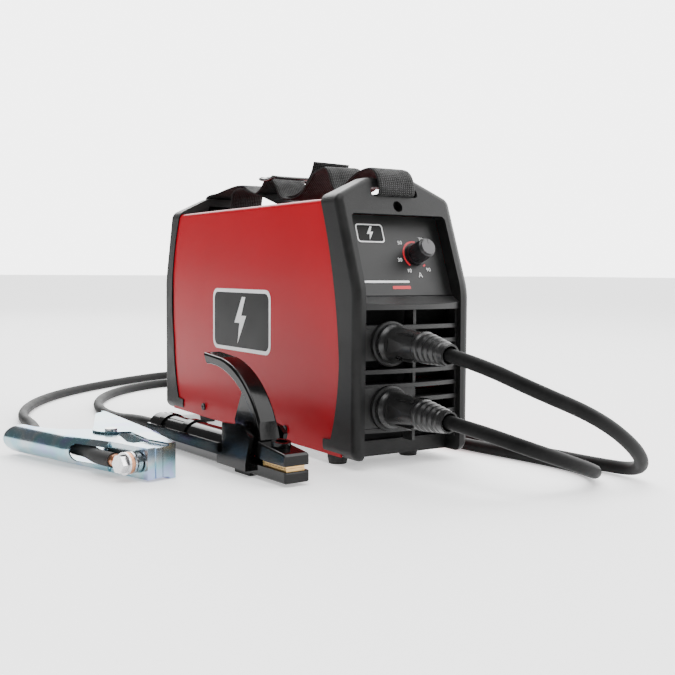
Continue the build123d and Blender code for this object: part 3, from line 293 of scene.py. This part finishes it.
def webbing_material():
    """Polyester webbing: a grid of raised yarns, about 2 mm apart across and 1.6 mm along the strap."""
    material, nodes, links, shader = new_material("webbing")
    coord = nodes.new("ShaderNodeTexCoord")
    waves = []
    for direction, scale in (("X", 157.0), ("Y", 196.0)):
        wave = nodes.new("ShaderNodeTexWave")
        wave.bands_direction = direction
        wave.inputs["Scale"].default_value = scale
        wave.inputs["Distortion"].default_value = 0.6
        wave.inputs["Detail"].default_value = 1.0
        links.new(coord.outputs["UV"], wave.inputs["Vector"])
        waves.append(wave)
    weave = nodes.new("ShaderNodeMath")
    weave.operation = "MULTIPLY"
    links.new(waves[0].outputs["Fac"], weave.inputs[0])
    links.new(waves[1].outputs["Fac"], weave.inputs[1])
    # Colour follows the weave: near-black where the yarns dip and lighter on their crests, painted shade
    # between the yarns
    weave_painted_shade = [(0.0, grey(0.002)), (0.3, grey(0.008)), (0.9, (0.036, 0.036, 0.034))]
    links.new(ramp(nodes, links, weave.outputs[0], weave_painted_shade), shader.inputs["Base Color"])
    fuzz = noise(nodes, links, 120, 3.0)
    links.new(span(nodes, links, fuzz.outputs[0], 0.6, 0.8), shader.inputs["Roughness"])
    bump(nodes, links, weave.outputs[0], shader, 1.0, 0.0012)
    shader.inputs["Specular IOR Level"].default_value = 0.3
    shader.inputs["Sheen Weight"].default_value = 0.04
    shader.inputs["Sheen Roughness"].default_value = 0.4
    return material


MATERIALS["webbing"] = webbing_material()
WEB_HALF = 0.018
WEB_THICK = 0.0018
SELVEDGE = 0.55         # thickness at the woven edge as a share of the full thickness


def smooth_line(points, step=0.002):
    """Points about one step apart along a Catmull-Rom curve through the given points."""
    given = [Vector(p) for p in points]
    padded = [given[0] * 2 - given[1]] + given + [given[-1] * 2 - given[-2]]
    line = []
    for a, b, c, d in zip(padded, padded[1:], padded[2:], padded[3:]):
        count = max(2, int((c - b).length / step))
        for index in range(count):
            t = index / count
            square = (2 * a - 5 * b + 4 * c - d) * t * t
            cube = (3 * b - a - 3 * c + d) * t ** 3
            line.append(0.5 * (2 * b + (c - a) * t + square + cube))
    return line + [given[-1]]


def table_value(pairs, share):
    """Linear look-up in a list of (share of the length, value)."""
    for (s0, v0), (s1, v1) in zip(pairs, pairs[1:]):
        if share <= s1:
            return v0 + (v1 - v0) * max(0.0, share - s0) / (s1 - s0)
    return pairs[-1][1]


def webbing(name, points, shifts, rolls):
    """A strip of webbing along points in (Y, Z) mm; shifts (mm) and rolls (degrees) change along it."""
    line = smooth_line([(0.0, y / 1000, z / 1000) for y, z in points])
    total = len(line) - 1
    bm = bmesh.new()
    uv = bm.loops.layers.uv.new("weave")
    upper = [(-1 + index / 6, 1) for index in range(13)]
    lower = [(1 - index / 6, -1) for index in range(13)]
    section = upper + [(1.0, 0.0)] + lower + [(-1.0, 0.0)]
    rings, lengths, run = [], [], 0.0
    for index, point in enumerate(line):
        before, after = line[max(index - 1, 0)], line[min(index + 1, total)]
        along = (after - before).normalized()
        normal = Vector((0, -along.z, along.y))
        share = index / total
        shift = table_value(shifts, share) / 1000
        roll = math.radians(table_value(rolls, share))
        run += (point - before).length
        lengths.append(run)
        ring = []
        for across, side in section:
            edge = SELVEDGE if abs(across) > 0.95 else 1.0
            x = across * WEB_HALF
            lift = side * edge * WEB_THICK / 2 + math.sin(roll) * x
            ring.append(bm.verts.new(point + Vector((x * math.cos(roll) + shift, 0, 0)) + normal * lift))
        rings.append(ring)
    count = len(section)
    for index, (ring, following) in enumerate(zip(rings, rings[1:])):
        for k in range(count):
            face = bm.faces.new((ring[k], ring[(k + 1) % count], following[(k + 1) % count], following[k]))
            corners = [(k, index), (k + 1, index), (k + 1, index + 1), (k, index + 1)]
            for loop, (place, row) in zip(face.loops, corners):
                across = section[place % count][0]
                loop[uv].uv = (across * WEB_HALF, lengths[row])
    bm.faces.new(rings[0][::-1])
    bm.faces.new(rings[-1])
    bmesh.ops.recalc_face_normals(bm, faces=bm.faces)
    return from_bmesh(name, bm, "webbing")


# Middle of the webbing in (Y, Z) millimetres, from the front slot over the humps to the rear slot.
STRAP_LINE = [
    (-138, 220), (-150, 219.6), (-160.5, 219.7), (-162.8, 222.6), (-162, 229), (-158.5, 236), (-153, 240.5),
    (-146, 242.2), (-135, 241), (-122, 237.2), (-108, 230.5), (-98, 227.5), (-91, 230), (-87, 236),
    (-83, 244), (-77, 248.8), (-69, 248.6), (-58, 245.5), (-48, 237.5), (-38, 228.8), (-24, 224.8),
    (-6, 225.2), (2, 229.5), (8, 237.4), (14, 242.4), (20, 246.6), (27, 247.2), (33, 243.5), (40, 238.2),
    (52, 234.5), (66, 238), (80, 243.2), (98, 243.8), (120, 241.4), (140, 238.8), (156, 238.2),
    (166, 236.6), (170.8, 231.5), (172, 226), (169, 222.8), (158, 222), (140, 222),
]
STRAP_SHIFTS = [(0, 0), (0.3, 1.5), (0.5, -1.5), (0.75, 1.0), (1, 0)]
STRAP_ROLLS = [(0, 0), (0.25, 0), (0.36, 3), (0.5, -2.5), (0.62, 2), (0.8, -2), (1, 0)]
LOOSE_END = [(-12, 227.4), (-26, 227.6), (-38, 231), (-47, 238.5), (-54, 247), (-57.5, 255.2)]
LOWER_TURN = [
    (8, 222.6), (22, 226.5), (38, 231), (58, 235.4), (78, 240), (92, 240.4), (100.5, 237), (103.5, 230),
    (104, 222), (103, 218.6),
]
strap = webbing("shoulder_webbing", STRAP_LINE, STRAP_SHIFTS, STRAP_ROLLS)
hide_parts("shoulder_strap")
webbing("strap_loose_end", LOOSE_END, [(0, 0), (1, 3)], [(0, -2), (1, 5)])
webbing("strap_lower_turn", LOWER_TURN, [(0, 1), (1, -1)], [(0, 3), (1, 0)])


def tube(bm, path, half_width, half_height):
    """A closed bar of oval section along a path."""
    sides = 14
    rings = []
    for index, point in enumerate(path):
        before, after = path[max(index - 1, 0)], path[min(index + 1, len(path) - 1)]
        along = (after - before).normalized()
        side = along.cross(Vector((0, 0, 1))).normalized()
        top = side.cross(along)
        ring = []
        for k in range(sides):
            angle = math.tau * k / sides
            offset = side * (half_width * math.cos(angle)) + top * (half_height * math.sin(angle))
            ring.append(bm.verts.new(point + offset))
        rings.append(ring)
    for ring, following in zip(rings, rings[1:]):
        for k in range(sides):
            bm.faces.new((ring[k], ring[(k + 1) % sides], following[(k + 1) % sides], following[k]))
    bm.faces.new(rings[0][::-1])
    bm.faces.new(rings[-1])


def slider():
    """Moulded three-bar slider: rounded bars across the webbing, joined by two rails with raised ends."""
    bm = bmesh.new()
    low, high = (Vector(corner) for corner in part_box("strap_slider"))
    middle = (low + high) / 2 + Vector((0, -0.0015, 0.0004))
    bars = [(-0.0115, 0.0022), (0.0, 0.0006), (0.0115, 0.0022)]
    for y, z in bars:
        path = [middle + Vector((x / 1000, y, z + 0.0006 * (x / 24) ** 4)) for x in range(-22, 23, 4)]
        tube(bm, path, 0.0023, 0.0016)
    for side in (-1, 1):
        path = []
        for step in range(13):
            t = step / 6 - 1
            path.append(middle + Vector((side * 0.0218, 0.013 * t, 0.0006 + 0.0018 * t * t)))
        tube(bm, path, 0.0019, 0.0017)
    bmesh.ops.recalc_face_normals(bm, faces=bm.faces)
    piece = from_bmesh("three_bar_slider", bm, "slider")
    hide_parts("strap_slider")


slider()


# ------------------------------------------------------------------ printing

PRINT_GAP = 0.00004      # print stands this far off its surface
PRINT_THICK = 0.00012


def flat_print(name, loops, place, look):
    """Thin printed shapes: closed outlines in (right, up) millimetres, laid on a surface by its matrix."""
    bm = bmesh.new()
    for loop in loops:
        low = [bm.verts.new(place @ Vector((x / 1000, y / 1000, PRINT_GAP))) for x, y in loop]
        bm.faces.new(low)
    extruded = bmesh.ops.extrude_face_region(bm, geom=list(bm.faces))
    lift = (place.to_3x3() @ Vector((0, 0, 1))).normalized() * PRINT_THICK
    raised = [part for part in extruded["geom"] if isinstance(part, bmesh.types.BMVert)]
    bmesh.ops.translate(bm, verts=raised, vec=lift)
    bmesh.ops.recalc_face_normals(bm, faces=bm.faces)
    return from_bmesh(name, bm, look, smooth=False)


def rounded_box(half_x, half_y, radius, steps=6):
    """Outline of a rounded rectangle, anticlockwise from its right side."""
    loop = []
    for corner, (sx, sy) in enumerate([(1, 1), (-1, 1), (-1, -1), (1, -1)]):
        for index in range(steps + 1):
            angle = math.radians(corner * 90 + index * 90 / steps)
            x = sx * (half_x - radius) + radius * math.cos(angle)
            y = sy * (half_y - radius) + radius * math.sin(angle)
            loop.append((x, y))
    return loop


def frame_strips(outer, inner):
    """Quads that fill the band between two outlines with the same number of corners."""
    count = len(outer)
    return [[outer[k], outer[(k + 1) % count], inner[(k + 1) % count], inner[k]] for k in range(count)]


def arc_strips(radius, width, start, end, steps=40):
    """Quads along an arc; angles in degrees, anticlockwise from the right."""
    strips = []
    for index in range(steps):
        a, b = (math.radians(start + (end - start) * (index + k) / steps) for k in (0, 1))
        low, high = radius - width / 2, radius + width / 2
        strips.append([(low * math.cos(a), low * math.sin(a)), (high * math.cos(a), high * math.sin(a)),
                       (high * math.cos(b), high * math.sin(b)), (low * math.cos(b), low * math.sin(b))])
    return strips


def bolt(scale):
    """Outline of a plain lightning bolt, 20 units tall before scaling."""
    shape = [(1.5, 10), (-5.5, -1.2), (-0.8, -1.2), (-2.6, -10), (5.4, 2.0), (0.8, 2.0), (4.6, 10)]
    return [(x * scale, y * scale) for x, y in shape]


def badge(name, place, half_x, half_y, radius, line):
    """A plain rounded badge: black field, white rim and a white lightning bolt."""
    outer = rounded_box(half_x, half_y, radius)
    inner = rounded_box(half_x - line, half_y - line, radius - line * 0.6)
    flat_print(name + "_rim", frame_strips(outer, inner), place, "white")
    flat_print(name + "_field", [inner], place, "print_black")
    raised = place @ Matrix.Translation((0, 0, PRINT_THICK))
    flat_print(name + "_bolt", [bolt(half_y * 0.075)], raised, "white")


# Side badge: centred 9 mm behind the cover's middle, low on its left face; its right is towards the front.
cover_low, cover_high = (Vector(corner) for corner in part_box("wrap_cover"))
side_middle = Vector((cover_low.x, (cover_low.y + cover_high.y) / 2 + 0.009, 0.1105))
side_turn = Matrix(((0, 0, -1, 0), (-1, 0, 0, 0), (0, 1, 0, 0), (0, 0, 0, 1)))
badge("side_badge", Matrix.Translation(side_middle) @ side_turn, 59.5, 29.5, 9, 3.4)

# The dial is laid round the knob's own axis, where that meets the panel.
hinge = next(j for j in frame["record"]["behaviour"]["joints"] if j["name"] == "current_knob_turn")
out = Vector(hinge["axis"]).normalized()
right = Vector((1, 0, 0))
up = out.cross(right).normalized()
panel_turn = Matrix((right, up, out)).transposed().to_4x4()
dial_place = Matrix.Translation(Vector(hinge["pos_m"])) @ panel_turn


def on_panel(x, y):
    """A place on the panel, in metres right of and above the knob's axis."""
    return dial_place @ Matrix.Translation((x, y, 0))


DIAL_R = 11.6
DIAL_LINE = 1.5
dial_bands = arc_strips(DIAL_R, DIAL_LINE, 78, 232) + arc_strips(DIAL_R, DIAL_LINE, -58, -46, 4)
flat_print("dial_arc", dial_bands, dial_place, "print_red")
badge("panel_badge", on_panel(-0.041, 0.0185), 13.2, 8.0, 2.6, 1.0)
flat_print("panel_stripe_white", [rounded_box(25, 0.9, 0.8, 3)], on_panel(-0.0365, -0.0235), "white")
flat_print("panel_stripe_red", [rounded_box(9, 1.3, 0.8, 3)], on_panel(-0.0205, -0.0285), "print_red")


def number(name, text, size, x, y):
    """One white label on the panel, as a mesh."""
    data = bpy.data.curves.new(name, "FONT")
    data.body = text
    data.size = size
    data.align_x = "CENTER"
    data.align_y = "CENTER"
    data.extrude = 0.00005
    data.resolution_u = 3
    letter = bpy.data.objects.new(name, data)
    bpy.context.scene.collection.objects.link(letter)
    letter.matrix_world = dial_place @ Matrix.Translation((x, y, 0.0001))
    bpy.context.view_layer.update()
    mesh = bpy.data.meshes.new_from_object(letter.evaluated_get(bpy.context.evaluated_depsgraph_get()))
    mesh.transform(letter.matrix_world)
    bpy.data.objects.remove(letter)
    piece = bpy.data.objects.new(name, mesh)
    bpy.context.scene.collection.objects.link(piece)
    mesh.materials.clear()
    mesh.materials.append(MATERIALS["white"])
    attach(piece, "machine")


for text, degrees in (("10", 238), ("30", 196), ("50", 140), ("70", 58), ("90", -52)):
    angle = math.radians(degrees)
    number("dial_" + text, text, 0.0046, 0.0172 * math.cos(angle), 0.0165 * math.sin(angle))
number("dial_unit", "A", 0.0062, 0.0012, -0.0178)


# ------------------------------------------------------------------ floor, light, camera

def floor():
    """A pale floor that glows a little, so that it stays as light as the backdrop."""
    bm = bmesh.new()
    bmesh.ops.create_grid(bm, x_segments=1, y_segments=1, size=30.0)
    mesh = bpy.data.meshes.new("floor")
    bm.to_mesh(mesh)
    bm.free()
    piece = bpy.data.objects.new("floor", mesh)
    bpy.context.scene.collection.objects.link(piece)
    material, nodes, links, shader = new_material("floor_pale")
    drift = noise(nodes, links, 2.0)
    colour = ramp(nodes, links, drift.outputs[0], [(0.3, grey(0.93)), (0.7, grey(0.95))])
    links.new(colour, shader.inputs["Base Color"])
    shader.inputs["Roughness"].default_value = 0.6
    shader.inputs["Specular IOR Level"].default_value = 0.25
    shader.inputs["Emission Color"].default_value = (1.0, 1.0, 1.0, 1.0)
    shader.inputs["Emission Strength"].default_value = 0.5
    mesh.materials.append(material)


def area_light(name, place, target, size, power):
    """A square soft light aimed at a point."""
    data = bpy.data.lights.new(name, "AREA")
    data.energy = power
    data.shape = "RECTANGLE"
    data.size = size
    data.size_y = size
    lamp = bpy.data.objects.new(name, data)
    bpy.context.scene.collection.objects.link(lamp)
    lamp.location = place
    lamp.rotation_euler = (Vector(target) - Vector(place)).to_track_quat("-Z", "Y").to_euler()


def camera():
    """Camera in front of the left corner, a little above the ground, level apart from a slight roll."""
    yaw, pitch, roll = math.radians(32.50), math.radians(3.831), math.radians(0.354)
    forward = Vector((math.sin(yaw) * math.cos(pitch), math.cos(yaw) * math.cos(pitch), -math.sin(pitch)))
    right = Vector((math.cos(yaw), -math.sin(yaw), 0.0))
    up = right.cross(forward)
    turned_right = right * math.cos(roll) + up * math.sin(roll)
    turned_up = up * math.cos(roll) - right * math.sin(roll)
    data = bpy.data.cameras.new("camera")
    data.lens = 52.43
    data.sensor_width = 36.0
    piece = bpy.data.objects.new("camera", data)
    bpy.context.scene.collection.objects.link(piece)
    basis = Matrix((turned_right, turned_up, -forward)).transposed().to_4x4()
    piece.matrix_world = Matrix.Translation((-0.4774, -0.8234, 0.1569)) @ basis
    bpy.context.scene.camera = piece


def studio():
    """Bright backdrop towards +X, dim surroundings elsewhere, and three soft lights."""
    world = bpy.data.worlds.new("studio")
    bpy.context.scene.world = world
    world.use_nodes = True
    nodes, links = world.node_tree.nodes, world.node_tree.links
    background = nodes["Background"]
    background.inputs[0].default_value = (1.0, 1.0, 1.0, 1.0)
    coord = nodes.new("ShaderNodeTexCoord")
    facing = nodes.new("ShaderNodeVectorMath")
    facing.operation = "DOT_PRODUCT"
    facing.inputs[1].default_value = (0.966, 0.259, 0.0)
    links.new(coord.outputs["Generated"], facing.inputs[0])
    strength = nodes.new("ShaderNodeMapRange")
    strength.interpolation_type = "SMOOTHSTEP"
    for socket, value in (("From Min", 0.08), ("From Max", 0.42), ("To Min", 0.22), ("To Max", 5.0)):
        strength.inputs[socket].default_value = value
    links.new(facing.outputs["Value"], strength.inputs["Value"])
    links.new(strength.outputs[0], background.inputs[1])
    area_light("key", (-0.6, -0.5, 2.2), (0, 0, 0.1), 1.6, 48)
    area_light("side", (1.8, -0.6, 1.2), (0, 0, 0.1), 1.0, 16)
    area_light("back", (0.3, 1.9, 1.8), (0, 0.1, 0.1), 1.6, 30)


floor()
studio()
camera()

bpy.context.view_layer.update()
